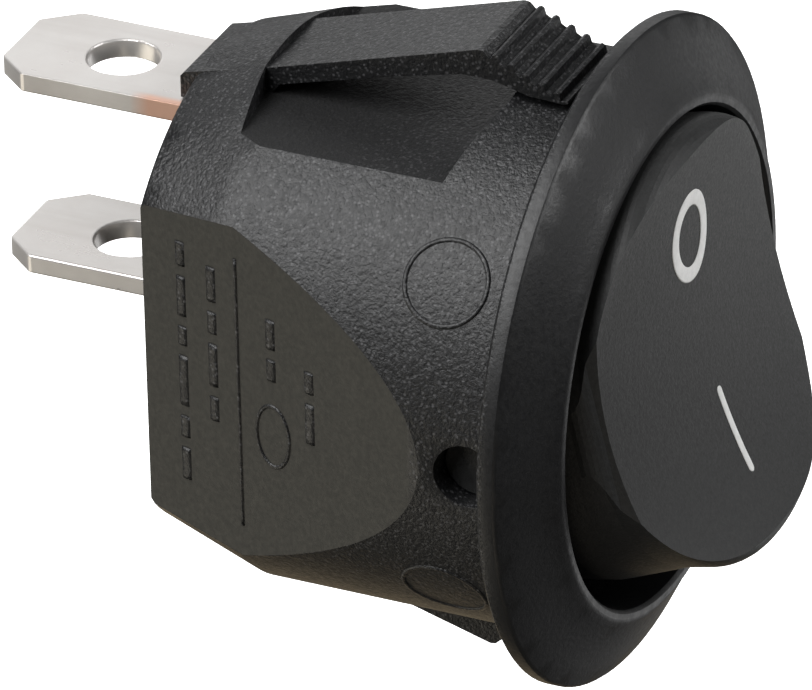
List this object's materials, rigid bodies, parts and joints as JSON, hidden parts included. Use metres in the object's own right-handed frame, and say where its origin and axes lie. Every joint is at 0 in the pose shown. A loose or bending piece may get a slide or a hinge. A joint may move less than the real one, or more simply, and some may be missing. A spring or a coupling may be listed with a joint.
{
  "type": "panel rocker switch",
  "caption": "Round snap-in rocker switch for panels: sloped bezel, dished rocker marked O and I, sprung see-saw contact, latch arms and blade terminals.",
  "frame": {"origin": "centre of the rear face of the bezel flange, on the switch axis, where the panel's front face lies", "axes": "-Y out of the panel towards the user, +Y along the body to the blade terminals, +Z towards the side of the rocker marked O, X along the rocker's pivot"},
  "size_m": [0.023, 0.0279, 0.023],
  "materials": {
    "housing_nylon": "black moulded nylon with a fine sparkle texture",
    "rocker_nylon": "black moulded nylon, fine matt texture",
    "plunger_plastic": "natural acetal, smooth",
    "spring_steel": "drawn wire",
    "contact_brass": "stamped strip",
    "contact_silver": "silver, satin",
    "terminal_tin": "bright tin plate on brass"
  },
  "bodies": {
    "body": {"housing": "housing_nylon", "common_terminal": "terminal_tin", "load_terminal": "terminal_tin", "fixed_contact_rivet": "contact_silver"},
    "rocker": {"rocker": "rocker_nylon"},
    "plunger": {"plunger": "plunger_plastic", "spring": "spring_steel"},
    "see_saw": {"moving_contact": "contact_brass", "moving_contact_rivet": "contact_silver"}
  },
  "joints": [
    {"name": "rocker_hinge", "type": "hinge", "parent": "body", "child": "rocker", "pos_m": [0, 0.0011, 0], "axis": [1, 0, 0], "range_deg": [0, 26]},
    {"name": "plunger_slide", "type": "slide", "parent": "rocker", "child": "plunger", "axis": [0, -0.9744, 0.225], "range_m": [0, 0.0006], "stiffness_N_per_m": 200, "deforming": ["spring"]},
    {"name": "see_saw_hinge", "type": "hinge", "parent": "body", "child": "see_saw", "pos_m": [0, 0.0094, 0], "axis": [1, 0, 0], "range_deg": [-16, 0]}
  ],
  "couplings": [
    {"joint": "see_saw_hinge", "follows": "rocker_hinge", "ratio": -0.61538}
  ]
}
